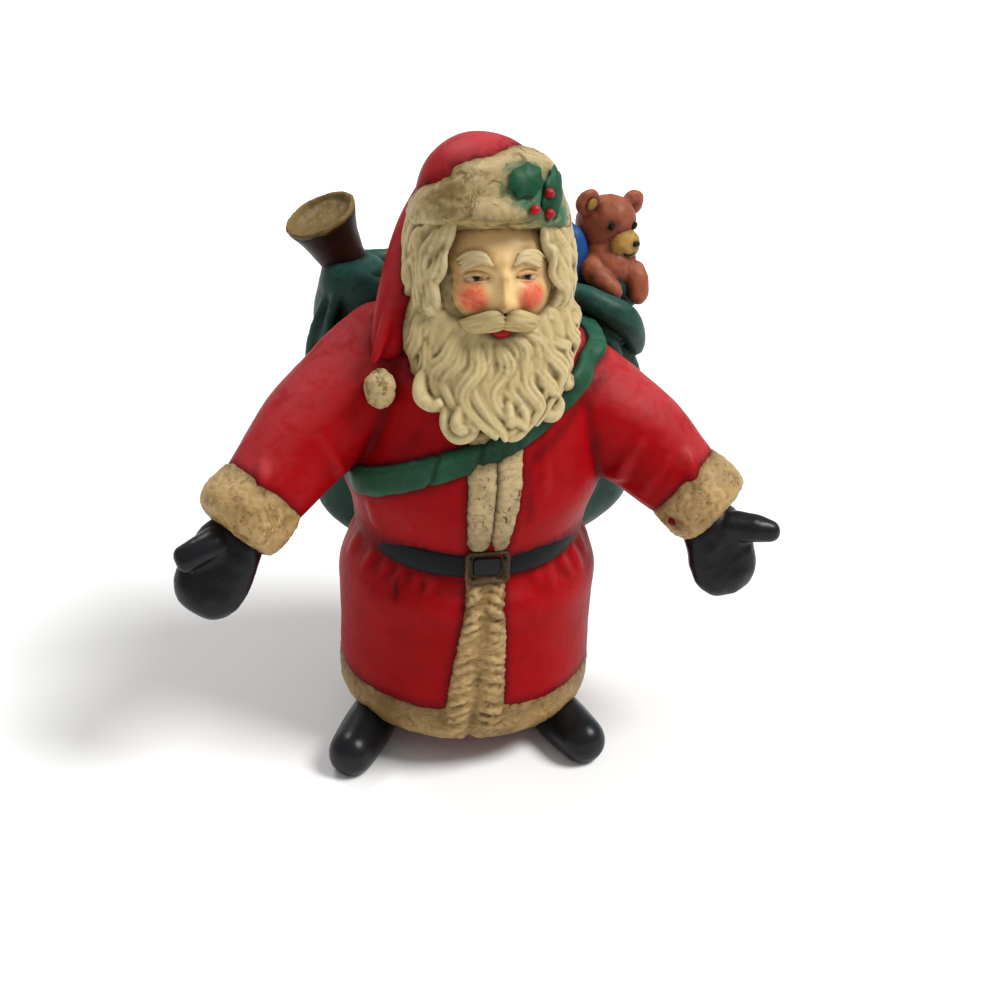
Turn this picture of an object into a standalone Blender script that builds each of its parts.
"""A small painted Santa figure with a sack of toys, moulded in one piece.

The figure looks toward -Y and stands on Z = 0. Lengths are metres.
"""

import math

import bmesh
import bpy
from mathutils import Euler, Matrix, Vector

# Boots, with the heel toward the middle and the toe turned out
BOOT_SPREAD = (0.0105, 0.0098)
BOOT_HEEL_Y = 0.0120
BOOT_LENGTH = 0.0372
BOOT_WIDTH = 0.0088
BOOT_HEIGHT = 0.0086
BOOT_TURN = (27.0, 20.0)
LEG_RADIUS = 0.0058

# Coat skirt, from the hem up to the belt
HEM_HEIGHT = 0.0072
SKIRT_LENGTH = 0.0328
SKIRT_RADIUS = 0.0227
WAIST_RADIUS = 0.0194
TRUNK_DEPTH = 0.94
GATHER_RADIUS = 0.0018
FUR_PROUD = 0.0008
HEM_BAND = 0.0076
HEM_ROLL = 0.0028
FRONT_BAND_TOP = 0.0066
FRONT_BAND_FOOT = 0.0156

# Belt and buckle
BELT_WIDTH = 0.0050
BELT_PROUD = 0.0010
BUCKLE_WIDTH = 0.0076
BUCKLE_HEIGHT = 0.0062
BUCKLE_PROUD = 0.0016

# Upper coat, which blouses out over the belt and hangs lowest at the right
CHEST_LENGTH = 0.0350
CHEST_RADIUS = 0.0226
SHOULDER_RADIUS = 0.0130
CHEST_BAND_WIDTH = 0.0042
BLOUSE_DROOP = 0.0034
DROOP_FADE = 0.0140

# Arms, with the left one of the pair at -X
SHOULDER_SPREAD = 0.0125
SHOULDER_Y = 0.0020
SHOULDER_DROP = 0.0105
SHOULDER_LIFT = (0.0016, -0.0034)
UPPER_ARM = 0.0180
FOREARM = (0.0164, 0.0136)
UPPER_ARM_DOWN = (28.0, 27.5)
UPPER_ARM_FORWARD = (24.0, 20.0)
FOREARM_DOWN = (37.0, 35.5)
FOREARM_FORWARD = (34.0, 31.0)
SLEEVE_RADIUS = 0.0110
ELBOW_RADIUS = 0.0092
WRIST_RADIUS = 0.0072
SLEEVE_FOLDS = 4
CUFF_RADIUS = 0.0081
CUFF_LENGTH = 0.0099
CUFF_SET_OUT = (0.0019, 0.0025)
MITTEN_LENGTH = (0.0173, 0.0166)
MITTEN_DOWN = (54.0, 64.0)
MITTEN_FORWARD = (33.0, 46.0)
MITTEN_WIDTH = 0.0122
MITTEN_THICKNESS = 0.0076
THUMB_LENGTH = (0.0099, 0.0119)
THUMB_DOWN = (16.0, 3.0)
THUMB_FORWARD = (22.0, 13.0)
THUMB_RADIUS = 0.0028
THUMB_TIP_RADIUS = (0.0023, 0.0016)

# Head, tilted a little forward, with hair and beard
HEAD_X = 0.0017
HEAD_Y = -0.0045
HEAD_RISE = 0.0098
HEAD_RADIUS = 0.0108
HEAD_TILT = 15.0
NOSE_RADIUS = 0.0018
HAIR_HALF_WIDTH = 0.0132
HAIR_HALF_DEPTH = 0.0118
HAIR_TOP = 0.0090
HAIR_LENGTH = 0.0200
HAIR_LOCKS = 13
HAIR_FRONT_ANGLE = 52.0
BEARD_X = 0.0012
BEARD_TOP = 0.0070
BEARD_LENGTH = 0.0154
BEARD_WIDTH = 0.0286
BEARD_PROUD = 0.0180
BEARD_SPREAD = 80.0
BEARD_LOCKS = 17
LOCK_RADIUS = 0.0012
# The moustache's middle line to the right, from the head's centre: right, front, up
MOUSTACHE = (
    (0.0003, 0.0112, -0.0064), (0.0024, 0.0110, -0.0066),
    (0.0050, 0.0098, -0.0078), (0.0078, 0.0074, -0.0080),
)

# Hat with a fur brim that reaches high at the front, its tail and its holly
BRIM_RISE = 0.0066
BRIM_HEIGHT = 0.0140
BRIM_RADIUS = 0.0134
BRIM_TOP_RADIUS = 0.0077
CROWN_RADIUS = 0.0106
CROWN_RISE = 0.0120
# The tail's middle line, from the head's centre: right, front, up
TAIL_LINE = (
    (-0.0050, -0.0086, 0.0130), (-0.0105, -0.0080, 0.0047),
    (-0.0146, -0.0026, -0.0046), (-0.0185, 0.0045, -0.0110),
)
TAIL_RADIUS = 0.0044
POMPOM_SET = (-0.0006, -0.0030, -0.0038)
POMPOM_RADIUS = 0.0029
# Each leaf: its length along the brim, its share of the brim's height, its lean and its three half sizes
LEAVES = (
    (0.0049, 0.586, -10.0, (0.0031, 0.0008, 0.0024)),
    (0.0103, 0.470, -12.0, (0.0019, 0.0008, 0.0049)),
)
BERRIES = ((0.0080, 0.43), (0.0056, 0.27), (0.0082, 0.21))
BERRY_RADIUS = 0.0010

# Sack on the back, its strap and what looks out of it
SACK_X = 0.0040
SACK_WIDTH = 0.0590
SACK_DEPTH = 0.0270
SACK_HEIGHT = 0.0500
SACK_SET_BACK = 0.0180
SACK_BOTTOM = 0.0250
SACK_FOLDS = 20
FOLD_RADIUS = 0.0019
RIM_RADIUS = 0.0038
RIM_SAG = 0.0084
RIM_LIFT = 0.0020
NECK_RISE = 0.0082
NECK_RADIUS = 0.0050
STRAP_WIDTH = 0.0050
STRAP_PROUD = 0.0015
HORN_LENGTH = 0.0165
HORN_BELL = 0.0064
HORN_NECK = 0.0039
HORN_WAY = (-0.42, -0.09, 0.905)
BEAR_HEAD = 0.0052
BEAR_RISE = 0.0123
BEAR_TURN = (12.0, 8.0, 22.0)
# The bear's two arms, from the middle of its head
BEAR_ARMS = (
    (
        (-0.0052, -0.0040, -0.0048), (-0.0042, -0.0074, -0.0060),
        (-0.0026, -0.0094, -0.0074), (-0.0010, -0.0108, -0.0088),
    ),
    (
        (0.0030, -0.0045, -0.0042), (0.0050, -0.0064, -0.0068),
        (0.0049, -0.0076, -0.0098), (0.0036, -0.0080, -0.0122),
    ),
)
PAW_RADIUS = 0.0020
TOY_RADIUS = 0.0035

VOXEL = 0.0006
MOST_TRIANGLES = 11600
SPECK_POINTS = 8

belt_low = HEM_HEIGHT + SKIRT_LENGTH
belt_top = belt_low + BELT_WIDTH
trunk_top = belt_top + CHEST_LENGTH
head_centre = Vector((HEAD_X, HEAD_Y, trunk_top + HEAD_RISE))
head_turn = Matrix.Rotation(math.radians(-HEAD_TILT), 4, "X")
sack_half = Vector((SACK_WIDTH / 2, SACK_DEPTH / 2, SACK_HEIGHT / 2))
sack_centre = Vector((SACK_X, SACK_SET_BACK, SACK_BOTTOM + SACK_HEIGHT / 2))
sack_mouth = sack_centre + Vector((0, 0, SACK_HEIGHT / 2))
sack_neck = sack_mouth + Vector((-sack_half.x * 0.76, sack_half.y * 0.04, NECK_RISE))
bear_head = sack_mouth + Vector((sack_half.x * 0.753, sack_half.y * 0.15, BEAR_RISE))


def smooth_between(values, share):
    """A value along a list of control values, on a Catmull-Rom curve."""
    last = len(values) - 1
    place = min(max(share, 0.0), 1.0) * last
    index = min(int(place), last - 1)
    step = place - index
    before = values[max(index - 1, 0)]
    start = values[index]
    end = values[index + 1]
    after = values[min(index + 2, last)]
    slope_in = (end - before) * 0.5
    slope_out = (after - start) * 0.5
    cubed = step**3
    squared = step**2
    return (
        start * (2 * cubed - 3 * squared + 1)
        + slope_in * (cubed - 2 * squared + step)
        + end * (3 * squared - 2 * cubed)
        + slope_out * (cubed - squared)
    )


def sized(length, *shares):
    """A list of sizes, each a share of one length."""
    return [length * share for share in shares]


def facing(way, count):
    """The same way out for each point of a path."""
    return [Vector(way)] * count


def take_in(shape, loop):
    """Adds one closed form to the figure, with its faces pointing out."""
    bmesh.ops.recalc_face_normals(loop, faces=loop.faces)
    mesh = bpy.data.meshes.new("form")
    loop.to_mesh(mesh)
    loop.free()
    shape.from_mesh(mesh)
    bpy.data.meshes.remove(mesh)


def add_ball(shape, centre, radii, turn=(0.0, 0.0, 0.0), fineness=14):
    """An ellipsoid, with its three radii and its turn in degrees."""
    place = Matrix.Translation(centre)
    place = place @ Euler([math.radians(angle) for angle in turn]).to_matrix().to_4x4()
    place = place @ Matrix.Diagonal((*radii, 1.0))
    ball = bmesh.new()
    bmesh.ops.create_uvsphere(
        ball, u_segments=2 * fineness, v_segments=fineness, radius=1.0, matrix=place,
    )
    take_in(shape, ball)


def add_roll(shape, points, widths, depths, outward, sides=12, steps=18, cap=0.12):
    """A closed roll along a path, with half widths, half depths and the ways that its back faces."""
    roll = bmesh.new()
    bmesh.ops.create_uvsphere(roll, u_segments=sides, v_segments=steps, radius=1.0)
    points = [Vector(point) for point in points]
    for vert in roll.verts:
        along = math.acos(max(-1.0, min(1.0, -vert.co.z))) / math.pi
        angle = math.atan2(vert.co.y, vert.co.x)
        end = min(along, 1.0 - along)
        full = math.sqrt(1.0 - (1.0 - end / cap) ** 2) if end < cap else 1.0
        if end < 1e-4:
            full = 0.0
        centre = smooth_between(points, along)
        ahead = smooth_between(points, along + 0.01) - smooth_between(points, along - 0.01)
        ahead.normalize()
        out = smooth_between(outward, along)
        out = (out - ahead * out.dot(ahead)).normalized()
        across = ahead.cross(out)
        wide = smooth_between(widths, along) * full * math.cos(angle)
        deep = smooth_between(depths, along) * full * math.sin(angle)
        vert.co = centre + across * wide + out * deep
    take_in(shape, roll)


def ring_loop(radius, across, tall, squash, sides=14, steps=48):
    """A ring about Z, with half thicknesses across and along that axis, flattened front to back."""
    section = Matrix.Translation((radius, 0, 0)) @ Matrix.Rotation(math.radians(90), 4, "X")
    section = section @ Matrix.Diagonal((across, tall, 1.0, 1.0))
    loop = bmesh.new()
    bmesh.ops.create_circle(loop, segments=sides, radius=1.0, matrix=section)
    bmesh.ops.spin(
        loop, geom=loop.edges[:], cent=(0, 0, 0), axis=(0, 0, 1),
        angle=2 * math.pi, steps=steps, use_merge=True,
    )
    bmesh.ops.scale(loop, vec=(1.0, squash, 1.0), verts=loop.verts)
    return loop


def trunk_radius(height):
    """The trunk's half width at a height: skirt, waist, blouse and shoulder."""
    if height < belt_low:
        share = (height - HEM_HEIGHT) / SKIRT_LENGTH
        skirt = sized(SKIRT_RADIUS, 0.945, 1.0, 1.0, 1.0, 1.0)
        return smooth_between(skirt + [WAIST_RADIUS * 1.02], share)
    if height < belt_top:
        return WAIST_RADIUS
    share = (height - belt_top) / CHEST_LENGTH
    chest = [WAIST_RADIUS * 1.06] + sized(CHEST_RADIUS, 1.0, 0.99, 0.925, 0.823)
    return smooth_between(chest + [SHOULDER_RADIUS], share)


def on_trunk(angle, height, proud=0.0):
    """A point on the trunk, with the angle in degrees from the front toward +X."""
    radius = trunk_radius(height) + proud
    turn = math.radians(angle)
    return Vector((radius * math.sin(turn), -radius * math.cos(turn) * TRUNK_DEPTH, height))


def away(points):
    """The ways out of the trunk at points on it."""
    return [Vector((point.x, point.y, 0.0)).normalized() for point in points]


def droop(point):
    """How far the blouse hangs down at a point just above the belt."""
    if point.z <= belt_top:
        return 0.0
    share = math.atan2(point.x, -point.y) / (2 * math.pi) + 0.5
    hang = smooth_between([0.35, 0.12, 0.0, 0.0, 1.0, 0.47, 0.18, 0.30, 0.35], share)
    return BLOUSE_DROOP * hang * max(0.0, 1.0 - (point.z - belt_top) / DROOP_FADE)


def add_trunk(shape):
    """The coat's body, turned about Z, with the waist drawn in under the belt."""
    profile = [(0.0, HEM_HEIGHT)]
    for step in range(25):
        height = HEM_HEIGHT + SKIRT_LENGTH * step / 24
        profile.append((trunk_radius(height - 1e-6), height))
    for step in range(25):
        height = belt_top + CHEST_LENGTH * step / 24
        profile.append((trunk_radius(height + 1e-6), height))
    profile.append((0.0, trunk_top + SHOULDER_RADIUS * 0.3))
    loop = bmesh.new()
    verts = [loop.verts.new((radius, 0.0, height)) for radius, height in profile]
    for start, end in zip(verts, verts[1:]):
        loop.edges.new((start, end))
    bmesh.ops.spin(
        loop, geom=loop.verts[:] + loop.edges[:], cent=(0, 0, 0), axis=(0, 0, 1),
        angle=2 * math.pi, steps=56, use_merge=True,
    )
    bmesh.ops.remove_doubles(loop, verts=loop.verts, dist=1e-6)
    bmesh.ops.scale(loop, vec=(1.0, TRUNK_DEPTH, 1.0), verts=loop.verts)
    for vert in loop.verts:
        vert.co.z -= droop(vert.co)
    take_in(shape, loop)


def add_gathers(shape):
    """Soft folds below the belt and above it, as rolls that lie half in the trunk."""
    for index in range(16):
        angle = -150.0 + 20.0 * index
        if abs(angle) < 25.0:
            continue
        length = SKIRT_LENGTH * (0.34 + 0.12 * math.sin(index * 2.1))
        sway = angle + 3.0 * math.sin(index)
        heights = [belt_low - length * share for share in (0.04, 0.5, 1.0)]
        path = [on_trunk(sway, height, -GATHER_RADIUS * 0.33) for height in heights]
        add_roll(
            shape, path, sized(GATHER_RADIUS, 0.9, 1.05, 0.33), sized(GATHER_RADIUS, 0.66, 0.6, 0.17),
            away(path), sides=8, steps=8,
        )
    for index in range(10):
        angle = -135.0 + 30.0 * index
        if abs(angle) < 20.0:
            continue
        sway = angle + 4.0 * math.cos(index)
        heights = [belt_top + CHEST_LENGTH * share for share in (0.09, 0.23, 0.43)]
        path = [on_trunk(sway, height, -GATHER_RADIUS * 0.44) for height in heights]
        add_roll(
            shape, path, sized(GATHER_RADIUS, 1.2, 1.1, 0.33), sized(GATHER_RADIUS, 0.66, 0.55, 0.17),
            away(path), sides=8, steps=8,
        )


def add_band(shape, side, heights, halves):
    """One of a pair of fur bands that meet along the middle of the front."""
    path = []
    for height, half in zip(heights, halves):
        angle = math.degrees(side * half / trunk_radius(height))
        path.append(on_trunk(angle, height, -FUR_PROUD * 0.5))
    add_roll(shape, path, halves, [FUR_PROUD * 1.75] * 4, away(path), sides=10, steps=14, cap=0.06)


def add_fur_trim(shape):
    """The hem band, the two front panels of the skirt and the two bands on the chest."""
    hem = ring_loop(SKIRT_RADIUS + FUR_PROUD - HEM_ROLL, HEM_ROLL, HEM_BAND / 2, TRUNK_DEPTH)
    bmesh.ops.translate(hem, vec=(0, 0, HEM_HEIGHT + HEM_BAND * 0.45), verts=hem.verts)
    take_in(shape, hem)
    foot = FRONT_BAND_FOOT / 4
    chest = CHEST_BAND_WIDTH / 2
    for side in (-1, 1):
        heights = [
            HEM_HEIGHT + HEM_BAND * 0.4, HEM_HEIGHT + HEM_BAND, HEM_HEIGHT + SKIRT_LENGTH * 0.6, belt_low,
        ]
        add_band(shape, side, heights, [foot, foot * 0.95, foot * 0.7, FRONT_BAND_TOP / 4])
        heights = [
            belt_top - FUR_PROUD * 0.6, belt_top + CHEST_LENGTH * 0.17,
            belt_top + CHEST_LENGTH * 0.5, trunk_top - SHOULDER_RADIUS * 0.46,
        ]
        add_band(shape, side, heights, [chest] * 4)


def add_belt(shape):
    """The belt round the drawn-in waist, and its buckle."""
    middle = belt_low + BELT_WIDTH / 2
    thick = BELT_PROUD * 2.2
    belt = ring_loop(WAIST_RADIUS + BELT_PROUD - thick, thick, BELT_WIDTH / 2, TRUNK_DEPTH, sides=10)
    bmesh.ops.translate(belt, vec=(0, 0, middle), verts=belt.verts)
    take_in(shape, belt)
    place = Matrix.Translation(on_trunk(0.0, middle, BELT_PROUD))
    size = Matrix.Diagonal((BUCKLE_WIDTH, 2 * BUCKLE_PROUD, BUCKLE_HEIGHT, 1.0))
    bmesh.ops.create_cube(shape, size=1.0, matrix=place @ size)


def slanted(side, down, ahead):
    """A way out to one side, with its angles down and forward in degrees."""
    down = math.radians(down)
    ahead = math.radians(ahead)
    level = math.cos(down)
    return Vector((side * level * math.cos(ahead), -level * math.sin(ahead), -math.sin(down)))


def add_arm(shape, side):
    """A sleeve with creases under it, its fur cuff and its mitten."""
    index = 0 if side < 0 else 1
    lift = trunk_top - SHOULDER_DROP + SHOULDER_LIFT[index]
    shoulder = Vector((side * SHOULDER_SPREAD, SHOULDER_Y, lift))
    way = slanted(side, UPPER_ARM_DOWN[index], UPPER_ARM_FORWARD[index])
    bend = slanted(side, FOREARM_DOWN[index], FOREARM_FORWARD[index])
    elbow = shoulder + way * UPPER_ARM
    wrist = elbow + bend * FOREARM[index]
    path = [
        shoulder - way * SLEEVE_RADIUS * 0.61, shoulder + way * SLEEVE_RADIUS * 0.35, elbow,
        wrist - bend * FOREARM[index] * 0.22, wrist + bend * CUFF_LENGTH * 0.2,
    ]
    radii = [SLEEVE_RADIUS, SLEEVE_RADIUS, ELBOW_RADIUS, WRIST_RADIUS * 1.08, WRIST_RADIUS]
    add_roll(shape, path, radii, radii, facing((0, 0.3, 1), 5), sides=24, steps=24, cap=0.2)
    add_sleeve_folds(shape, side, shoulder, wrist, way)
    cuff = wrist + bend * CUFF_SET_OUT[index]
    path = [cuff + bend * CUFF_LENGTH * share for share in (-0.49, -0.16, 0.17, 0.51)]
    radii = sized(CUFF_RADIUS, 0.92, 1.0, 1.0, 0.85)
    add_roll(shape, path, radii, radii, facing((0, 0.3, 1), 4), sides=24, steps=16, cap=0.16)
    add_mitten(shape, side, cuff + bend * CUFF_LENGTH * 0.27)


def add_sleeve_folds(shape, side, shoulder, wrist, way):
    """Creases that run slantwise from the front of a sleeve to its underside."""
    under = Vector((side * 0.1, -0.45, -0.9)).normalized()
    front = Vector((side * 0.25, -1.0, 0.1)).normalized()
    for index in range(SLEEVE_FOLDS):
        share = 0.10 + 0.20 * index
        middle = shoulder.lerp(wrist, share)
        reach = SLEEVE_RADIUS * (1.02 - 0.32 * share)
        slant = way * FOLD_RADIUS
        path = [
            middle + front * reach * 0.90 + slant * 1.4,
            middle + (front + under * 0.6).normalized() * reach * 0.96 + slant * 0.3,
            middle + (front + under * 2.0).normalized() * reach * 0.96,
            middle + under * reach * 0.90 - slant * 1.4,
        ]
        widths = sized(FOLD_RADIUS, 0.42, 1.0, 1.0, 0.42)
        depths = sized(FOLD_RADIUS, 0.26, 0.63, 0.63, 0.26)
        add_roll(shape, path, widths, depths, facing(front + under, 4), sides=8, steps=10)


def add_mitten(shape, side, palm):
    """A mitten with its palm to the front, fingers down and thumb out."""
    index = 0 if side < 0 else 1
    palm_out = Vector((side * 0.10, -0.80, 0.60))
    tip = palm + slanted(side, MITTEN_DOWN[index], MITTEN_FORWARD[index]) * MITTEN_LENGTH[index]
    path = [palm, palm.lerp(tip, 0.33), palm.lerp(tip, 0.64), tip]
    widths = sized(MITTEN_WIDTH / 2, 0.80, 0.97, 1.03, 0.82)
    depths = sized(MITTEN_THICKNESS / 2, 1.0, 1.0, 0.95, 0.75)
    add_roll(shape, path, widths, depths, facing(palm_out, 4), sides=16, steps=16, cap=0.24)
    root = palm.lerp(tip, 0.15) + Vector((side * 0.43, -0.5, 0.21)) * THUMB_RADIUS
    out = slanted(side, THUMB_DOWN[index], THUMB_FORWARD[index]) * THUMB_LENGTH[index]
    widths = [THUMB_RADIUS * 1.05, THUMB_RADIUS, THUMB_TIP_RADIUS[index]]
    path = [root, root + out / 2, root + out]
    add_roll(shape, path, widths, widths, facing(palm_out, 3), sides=12, steps=12, cap=0.22)


def add_boot(shape, side):
    """A boot whose sole is cut flat later, with its leg going up into the coat."""
    index = 0 if side < 0 else 1
    heel = Vector((side * BOOT_SPREAD[index] * 0.72, BOOT_HEEL_Y, BOOT_HEIGHT * 0.42))
    turn = math.radians(BOOT_TURN[index])
    ahead = Vector((side * math.sin(turn), -math.cos(turn), 0.0))
    toe = heel + ahead * BOOT_LENGTH
    path = [heel, heel.lerp(toe, 0.35), heel.lerp(toe, 0.7), toe]
    widths = sized(BOOT_WIDTH / 2, 0.86, 0.84, 1.0, 0.86)
    depths = sized(BOOT_HEIGHT * 0.56, 1.0, 1.0, 0.98, 0.8)
    add_roll(shape, path, widths, depths, facing((0, 0, 1), 4), sides=18, steps=20, cap=0.16)
    ankle = heel + ahead * BOOT_LENGTH * 0.38
    top = Vector((ankle.x, ankle.y * 0.6, HEM_HEIGHT + LEG_RADIUS * 0.7))
    path = [ankle, ankle.lerp(top, 0.5), top]
    widths = [LEG_RADIUS] * 3
    add_roll(shape, path, widths, widths, facing((0, -1, 0), 3), sides=16, steps=10, cap=0.2)


def on_head(right, front, up):
    """A point given from the head's centre, in the tilted head's own directions."""
    return head_centre + head_turn.to_3x3() @ Vector((right, -front, up))


def add_head(shape):
    """A plain head with a small nose, cheeks and brows."""
    tilt = (-HEAD_TILT, 0.0, 0.0)
    radius = HEAD_RADIUS
    add_ball(shape, head_centre, (radius * 0.98, radius, radius * 1.12), tilt, fineness=18)
    neck = [head_centre, Vector((HEAD_X * 0.5, 0.0, trunk_top - radius * 0.37))]
    widths = sized(radius, 0.97, 1.2)
    add_roll(shape, neck, widths, widths, facing((0, -1, 0), 2), sides=16, steps=8)
    nose = on_head(0.0, radius * 1.02, -radius * 0.02)
    add_ball(shape, nose, (NOSE_RADIUS, NOSE_RADIUS, NOSE_RADIUS * 1.2), tilt, fineness=8)
    for side in (-1, 1):
        cheek = on_head(side * radius * 0.46, radius * 0.76, -radius * 0.16)
        add_ball(shape, cheek, (radius * 0.30, radius * 0.24, radius * 0.26), tilt, fineness=8)
        brow = []
        for share, out in ((0.14, 0.93), (0.40, 0.88), (0.66, 0.72)):
            brow.append(on_head(side * radius * share, radius * out, radius * 0.42))
        widths = sized(NOSE_RADIUS, 0.4, 0.6, 0.35)
        add_roll(shape, brow, widths, widths, facing((0, -1, 0), 3), sides=8, steps=8)


def on_hair(angle, up):
    """A point on the hair, with its angle in degrees from the front and its height on the head."""
    turn = math.radians(angle)
    bulge = math.sqrt(max(0.2, 1.0 - (up / HAIR_LENGTH - 0.05) ** 2 * 0.9))
    right = HAIR_HALF_WIDTH * (bulge * math.sin(turn) - 0.04)
    return on_head(right, HAIR_HALF_DEPTH * (bulge * math.cos(turn) - 0.07), up)


def add_hair(shape):
    """The hair behind the head, and wavy locks from under the brim round both sides and the back."""
    behind = on_head(-HAIR_HALF_WIDTH * 0.03, -HAIR_HALF_DEPTH * 0.1, -HAIR_LENGTH * 0.05)
    radii = (HAIR_HALF_WIDTH * 0.94, HAIR_HALF_DEPTH * 0.92, HEAD_RADIUS * 1.15)
    add_ball(shape, behind, radii, (-HEAD_TILT, 0.0, 0.0), fineness=16)
    widths = sized(LOCK_RADIUS, 0.8, 0.9, 1.0, 1.0, 1.0, 1.0, 1.0, 1.0, 0.9, 0.6)
    for side in (-1, 1):
        for index in range(HAIR_LOCKS):
            share = index / (HAIR_LOCKS - 1)
            angle = side * (HAIR_FRONT_ANGLE + (179.0 - HAIR_FRONT_ANGLE) * share)
            path = []
            for step in range(10):
                share = step / 9
                swing = 4.4 * math.sin(share * 11.0 + abs(angle) * 0.085) * min(1.0, 0.35 + share)
                path.append(on_hair(angle + swing, HAIR_TOP - HAIR_LENGTH * share))
            turn = math.radians(angle)
            out = facing((math.sin(turn), -math.cos(turn), 0.1), 10)
            add_roll(shape, path, widths, widths, out, sides=8, steps=22, cap=0.06)


def on_beard(across, down, lift=0.0):
    """A point on the beard: across from -1 to 1, down from 0 under the cheeks to 1 at its end."""
    turn = across * math.radians(BEARD_SPREAD)
    half = BEARD_WIDTH / 2 * smooth_between([0.88, 1.0, 0.99, 0.92, 0.79], down) + lift
    out = BEARD_PROUD * smooth_between([0.59, 0.70, 0.845, 0.955, 1.0], down) + lift
    top = head_centre.z - BEARD_TOP * (1.0 - 0.7 * abs(across))
    low = head_centre.z - BEARD_TOP - BEARD_LENGTH
    low += BEARD_LENGTH * (0.30 * abs(across) ** 2.4 + 0.09 * max(0.0, across))
    ahead = out * max(0.0, math.cos(turn)) ** 0.9
    return Vector((BEARD_X + half * math.sin(turn), HEAD_Y - ahead, top + (low - top) * down))


def add_beard(shape):
    """A full beard: a soft core, and S-shaped locks that fan out from the mouth and curl at their ends."""
    core = BEARD_PROUD * 0.17
    for index in range(11):
        across = -0.92 + 1.84 * index / 10
        turn = across * math.radians(BEARD_SPREAD)
        path = [on_beard(across, down, -LOCK_RADIUS * 2.3) for down in (0.0, 0.25, 0.5, 0.78, 1.0)]
        add_roll(
            shape, path, sized(core, 1.0, 1.05, 1.05, 1.0, 0.9), [core * 0.92] * 5,
            facing((math.sin(turn), -math.cos(turn), 0.15), 5), sides=10, steps=12,
        )
    widths = sized(LOCK_RADIUS, 0.5, 0.8, 0.95, 1.0, 1.05, 1.1, 1.1, 1.1, 1.1, 1.05, 0.8)
    for index in range(BEARD_LOCKS):
        across = -0.97 + 1.94 * index / (BEARD_LOCKS - 1)
        turn = across * math.radians(BEARD_SPREAD)
        phase = index * 1.02
        path = []
        for step in range(11):
            share = step / 10
            fan = across * (0.60 + 0.40 * min(1.0, share * 2.4) ** 0.7)
            wave = 0.085 * math.sin(share * 8.4 + phase) * min(1.0, share * 3.0)
            rise = LOCK_RADIUS * (0.33 * math.sin(share * 9.0 + phase * 1.3) - 0.17)
            path.append(on_beard(max(-0.99, min(0.99, fan + wave)), share, rise))
        out = facing((math.sin(turn), -math.cos(turn), 0.1), 11)
        add_roll(shape, path, widths, widths, out, sides=8, steps=22, cap=0.06)
    for side in (-1, 1):
        path = [on_head(side * right, front, up) for right, front, up in MOUSTACHE]
        widths = sized(LOCK_RADIUS, 0.83, 1.25, 1.17, 0.5)
        add_roll(shape, path, widths, widths, facing((0, -1, 0), 4), sides=10, steps=12)


def on_brim(angle, share, proud=0.0):
    """A point on the brim, with its angle from the front and a share of the brim's height."""
    bulge = smooth_between([1.0, 0.88, 0.55, 0.0], share)
    radius = BRIM_TOP_RADIUS + (BRIM_RADIUS - BRIM_TOP_RADIUS) * bulge + proud
    aside = BRIM_RADIUS * smooth_between([-0.04, -0.02, 0.04, 0.09], share)
    front = BRIM_RADIUS * smooth_between([-0.015, 0.015, 0.06, 0.10], share)
    return on_head(
        aside + radius * math.sin(angle), front + radius * math.cos(angle), BRIM_RISE + BRIM_HEIGHT * share
    )


def add_hat(shape):
    """The crown, its fur brim, the tail that hangs at the left with a pom-pom, and the holly."""
    tilt = (-HEAD_TILT, 0.0, 0.0)
    levels = []
    radii = []
    for step in range(4):
        left = on_brim(-math.pi / 2, step / 3)
        right = on_brim(math.pi / 2, step / 3)
        levels.append((left + right) / 2)
        radii.append((right - left).length / 2)
    add_roll(shape, levels, radii, radii, facing((0, -1, 0), 4), sides=36, steps=22, cap=0.14)
    crown = on_head(-CROWN_RADIUS * 0.12, -CROWN_RADIUS * 0.19, CROWN_RISE)
    add_ball(shape, crown, (CROWN_RADIUS, CROWN_RADIUS, CROWN_RADIUS * 0.98), tilt, fineness=18)
    path = [on_head(*point) for point in TAIL_LINE]
    add_roll(
        shape, path, sized(TAIL_RADIUS, 1.36, 1.23, 1.09, 0.59), sized(TAIL_RADIUS, 0.95, 1.0, 0.95, 0.55),
        facing((-1, -0.4, 0), 4), sides=14, steps=18,
    )
    pompom = path[-1] + Vector(POMPOM_SET)
    radii = (POMPOM_RADIUS * 0.9, POMPOM_RADIUS, POMPOM_RADIUS * 1.15)
    add_ball(shape, pompom, radii, fineness=8)
    link = [TAIL_RADIUS * 0.5] * 2
    add_roll(shape, [path[-1], pompom], link, link, facing((-1, 0, 0), 2), sides=10, steps=8)
    for along, share, lean, leaf_half in LEAVES:
        angle = along / BRIM_RADIUS
        turn = (-HEAD_TILT, lean, math.degrees(angle))
        add_ball(shape, on_brim(angle, share), leaf_half, turn, fineness=7)
    for along, share in BERRIES:
        place = on_brim(along / BRIM_RADIUS, share, BERRY_RADIUS * 0.2)
        add_ball(shape, place, [BERRY_RADIUS] * 3, fineness=6)


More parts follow.
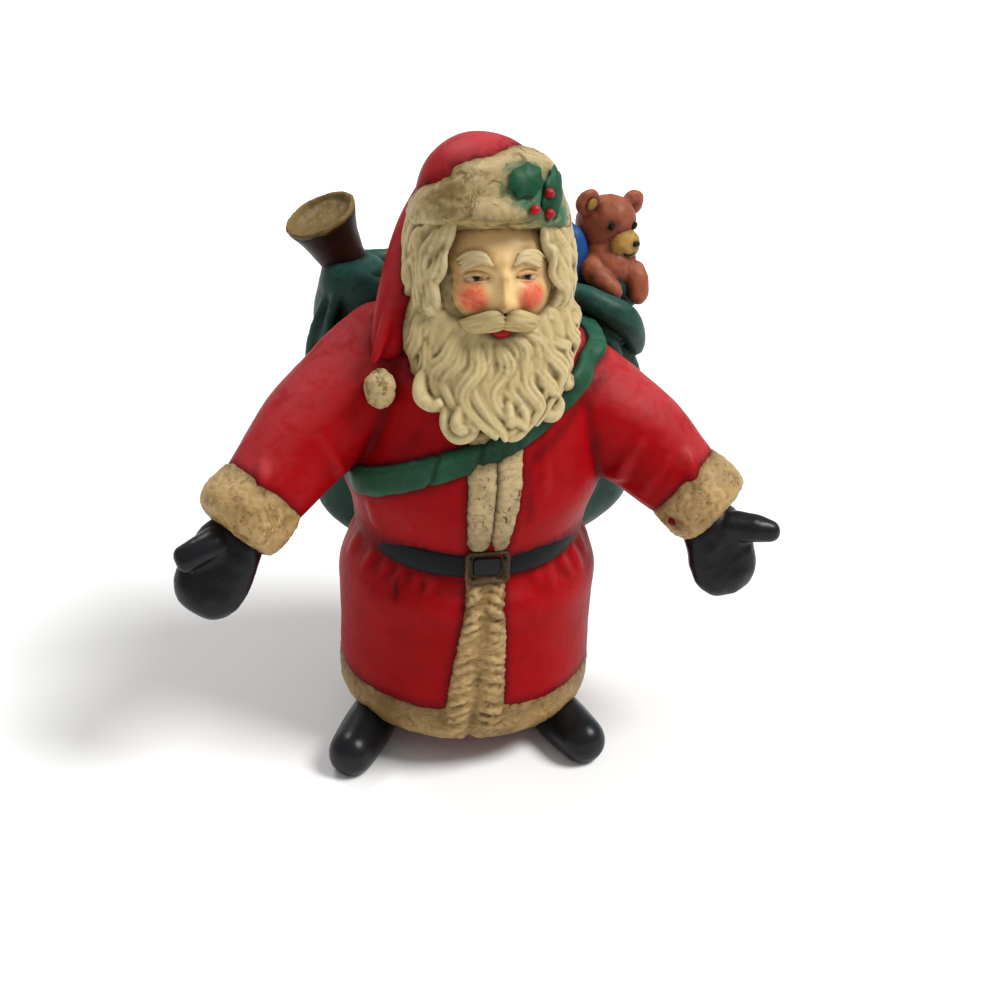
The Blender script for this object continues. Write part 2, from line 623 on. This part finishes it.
def add_sack(shape):
    """The full sack, with folds down its sides and a rolled mouth that sags at the right."""
    half = sack_half
    foot = sack_centre - Vector((0, 0, half.z))
    top = sack_mouth + Vector((0, 0, RIM_RADIUS * 0.5))
    path = [foot, foot.lerp(sack_mouth, 0.35), foot.lerp(sack_mouth, 0.75), top]
    widths = sized(half.x, 0.94, 1.0, 0.97, 0.86)
    depths = sized(half.y, 0.90, 1.0, 0.94, 0.80)
    add_roll(shape, path, widths, depths, facing((0, -1, 0), 4), sides=36, steps=24, cap=0.24)
    full = sack_mouth - Vector((half.x * 0.05, 0, RIM_RADIUS * 0.26))
    add_ball(shape, full, (half.x * 0.76, half.y * 0.70, RIM_RADIUS * 1.5), fineness=14)
    rim = ring_loop(half.x * 0.85, RIM_RADIUS, RIM_RADIUS * 1.1, half.y / half.x * 0.92)
    for vert in rim.verts:
        right = max(0.0, vert.co.x / half.x - 0.44) / 0.54
        left = min(1.0, max(0.0, -vert.co.x / half.x - 0.34) / 0.41)
        vert.co.z += RIM_LIFT * (0.7 + left) - RIM_SAG * right**1.4
    bmesh.ops.translate(rim, vec=sack_mouth, verts=rim.verts)
    take_in(shape, rim)
    for index in range(SACK_FOLDS):
        angle = 2 * math.pi * index / SACK_FOLDS
        way = Vector((math.sin(angle), -math.cos(angle), 0.0))
        path = []
        for share in (0.78, 0.45, 0.0, -0.5):
            reach = (1.0 - abs(share * 0.9) ** 4) ** 0.5 * 0.955
            point = Vector((way.x * half.x * reach, way.y * half.y * reach, half.z * share))
            path.append(sack_centre + point)
        widths = sized(FOLD_RADIUS, 1.15, 0.95, 0.75, 0.26)
        depths = sized(FOLD_RADIUS, 0.85, 0.68, 0.47, 0.16)
        add_roll(shape, path, widths, depths, facing(way, 4), sides=8, steps=10)


def add_neck(shape):
    """The sack's gathered neck at the left, which holds the horn."""
    foot = sack_neck + Vector((-0.12, 0.18, -3.44)) * NECK_RADIUS
    path = [foot, foot.lerp(sack_neck, 0.46), sack_neck]
    add_roll(
        shape, path, sized(NECK_RADIUS, 1.5, 1.34, 1.0), sized(NECK_RADIUS, 1.4, 1.24, 0.96),
        facing((0, -1, 0), 3), sides=18, steps=12, cap=0.1,
    )


def add_strap(shape):
    """The strap that runs from under the left arm across the chest and over the right shoulder."""
    path = []
    for angle, share in ((-118.0, 0.20), (-62.0, 0.286), (-28.0, 0.44), (8.0, 0.60), (50.0, 0.766)):
        path.append(on_trunk(angle, belt_top + CHEST_LENGTH * share, STRAP_PROUD * 0.1))
    out = away(path)
    shoulder = Vector((SHOULDER_SPREAD, SHOULDER_Y, trunk_top - SHOULDER_DROP))
    for share, way in (
        ((0.54, -0.75, 0.43), (0.6, -0.6, 0.7)), ((0.77, -0.32, 0.52), (0.4, -0.2, 1)),
        ((0.74, 0.64, 0.45), (0.2, 0.5, 1)),
    ):
        path.append(shoulder + Vector(share) * SLEEVE_RADIUS)
        out.append(Vector(way))
    widths = sized(STRAP_WIDTH / 2, 1.0, 1.0, 0.96, 0.92, 0.8, 0.72, 0.72, 0.8)
    add_roll(shape, path, widths, [STRAP_PROUD] * 8, out, sides=12, steps=40, cap=0.04)


def add_horn(shape):
    """A stout horn that leans out of the sack's neck and widens to its bell."""
    foot = sack_neck + Vector((0.36, 0.74, -2.03)) * HORN_NECK
    bell = foot + Vector(HORN_WAY).normalized() * HORN_LENGTH
    path = [foot, foot.lerp(bell, 0.4), foot.lerp(bell, 0.75), bell]
    radii = sized(HORN_NECK, 1.0, 1.0, 1.27) + [HORN_BELL]
    add_roll(shape, path, radii, radii, facing((0, -1, 0), 4), sides=24, steps=24, cap=0.03)


def add_bear(shape):
    """A bear that looks to the right, with both arms over the rolled edge, and a toy beside it."""
    size = BEAR_HEAD
    face = Euler([math.radians(angle) for angle in BEAR_TURN]).to_matrix()
    body = bear_head + Vector((-0.08, -0.38, -1.52)) * size
    lap = bear_head + Vector((-0.40, -1.32, -1.75)) * size
    add_ball(shape, body, sized(size, 0.90, 0.81, 1.35), fineness=12)
    add_ball(shape, lap, sized(size, 0.75, 0.65, 0.75), fineness=12)
    add_ball(shape, bear_head, sized(size, 1.0, 0.94, 1.0), BEAR_TURN, fineness=14)
    muzzle = bear_head + face @ Vector((0.04, -0.90, -0.27)) * size
    add_ball(shape, muzzle, sized(size, 0.49, 0.49, 0.49), BEAR_TURN, fineness=10)
    for side in (-1, 1):
        ear = bear_head + face @ Vector((side * 0.9, 0.08, 0.83)) * size
        add_ball(shape, ear, sized(size, 0.40, 0.25, 0.48), BEAR_TURN, fineness=8)
    for arm in BEAR_ARMS:
        path = [bear_head + Vector(point) for point in arm]
        radii = sized(PAW_RADIUS, 1.0, 1.05, 0.98, 0.68)
        add_roll(shape, path, radii, radii, facing((0, -1, 0.6), 4), sides=12, steps=12, cap=0.22)
    toy = sack_mouth + Vector((sack_half.x * 0.54, -sack_half.y * 0.07, TOY_RADIUS * 1.6))
    add_ball(shape, toy, sized(TOY_RADIUS, 1.0, 1.0, 2.2), fineness=12)


def fuse(shape):
    """Joins the overlapping forms into one skin, keeps it light and cuts the soles flat."""
    rough = bpy.data.meshes.new("rough_figure")
    shape.to_mesh(rough)
    shape.free()
    figure = bpy.data.objects.new("rough_figure", rough)
    bpy.context.scene.collection.objects.link(figure)
    skin = figure.modifiers.new("one skin", "REMESH")
    skin.mode = "VOXEL"
    skin.voxel_size = VOXEL
    graph = bpy.context.evaluated_depsgraph_get()
    full = bpy.data.meshes.new_from_object(figure.evaluated_get(graph))
    full.calc_loop_triangles()
    light = figure.modifiers.new("fewer faces", "DECIMATE")
    light.ratio = min(1.0, MOST_TRIANGLES / len(full.loop_triangles))
    graph = bpy.context.evaluated_depsgraph_get()
    mesh = bpy.data.meshes.new_from_object(figure.evaluated_get(graph))
    for old in (full, rough):
        if old.users == 0:
            bpy.data.meshes.remove(old)
    bpy.data.objects.remove(figure)
    body = bmesh.new()
    body.from_mesh(mesh)
    bpy.data.meshes.remove(mesh)
    cut = bmesh.ops.bisect_plane(
        body, geom=body.verts[:] + body.edges[:] + body.faces[:], dist=1e-7,
        plane_co=(0, 0, 0), plane_no=(0, 0, -1), clear_outer=True,
    )
    rims = [item for item in cut["geom_cut"] if isinstance(item, bmesh.types.BMEdge)]
    bmesh.ops.holes_fill(body, edges=rims)
    bmesh.ops.triangulate(body, faces=body.faces[:])
    drop_specks(body)
    bmesh.ops.recalc_face_normals(body, faces=body.faces)
    return body


def drop_specks(body):
    """Removes the grains, smaller than a voxel, that remeshing leaves where two forms just touch."""
    left = set(body.verts)
    specks = []
    while left:
        island = [left.pop()]
        for vert in island:
            for edge in vert.link_edges:
                other = edge.other_vert(vert)
                if other in left:
                    left.discard(other)
                    island.append(other)
        if len(island) < SPECK_POINTS:
            specks.extend(island)
    bmesh.ops.delete(body, geom=specks, context="VERTS")


def stand_on_origin(body):
    """Moves the figure so that the middle of its box's foot is the origin."""
    low = [min(vert.co[axis] for vert in body.verts) for axis in range(3)]
    high = [max(vert.co[axis] for vert in body.verts) for axis in range(3)]
    shift = Vector((-(low[0] + high[0]) / 2, -(low[1] + high[1]) / 2, -low[2]))
    bmesh.ops.translate(body, vec=shift, verts=body.verts)
    return shift


def painted_vinyl():
    material = bpy.data.materials.new("painted_vinyl")
    material.use_nodes = True
    surface = material.node_tree.nodes["Principled BSDF"]
    surface.inputs["Base Color"].default_value = (0.42, 0.018, 0.03, 1.0)
    surface.inputs["Roughness"].default_value = 0.42
    surface.inputs["Metallic"].default_value = 0.0
    return material


def main():
    for old in list(bpy.data.objects):
        bpy.data.objects.remove(old)
    shape = bmesh.new()
    add_trunk(shape)
    add_gathers(shape)
    add_fur_trim(shape)
    add_belt(shape)
    for side in (-1, 1):
        add_arm(shape, side)
        add_boot(shape, side)
    add_head(shape)
    add_hair(shape)
    add_beard(shape)
    add_hat(shape)
    add_sack(shape)
    add_neck(shape)
    add_strap(shape)
    add_horn(shape)
    add_bear(shape)
    body = fuse(shape)
    shift = stand_on_origin(body)
    mesh = bpy.data.meshes.new("santa_figure")
    body.to_mesh(mesh)
    body.free()
    mesh.shade_smooth()
    mesh.set_sharp_from_angle(angle=math.radians(60.0))
    mesh.materials.append(painted_vinyl())
    figure = bpy.data.objects.new("santa_figure", mesh)
    parts = bpy.data.collections.new("santa_blow_mold")
    bpy.context.scene.collection.children.link(parts)
    parts.objects.link(figure)
    print("santa_figure has", len(mesh.polygons), "triangles and was moved by", tuple(shift))


main()
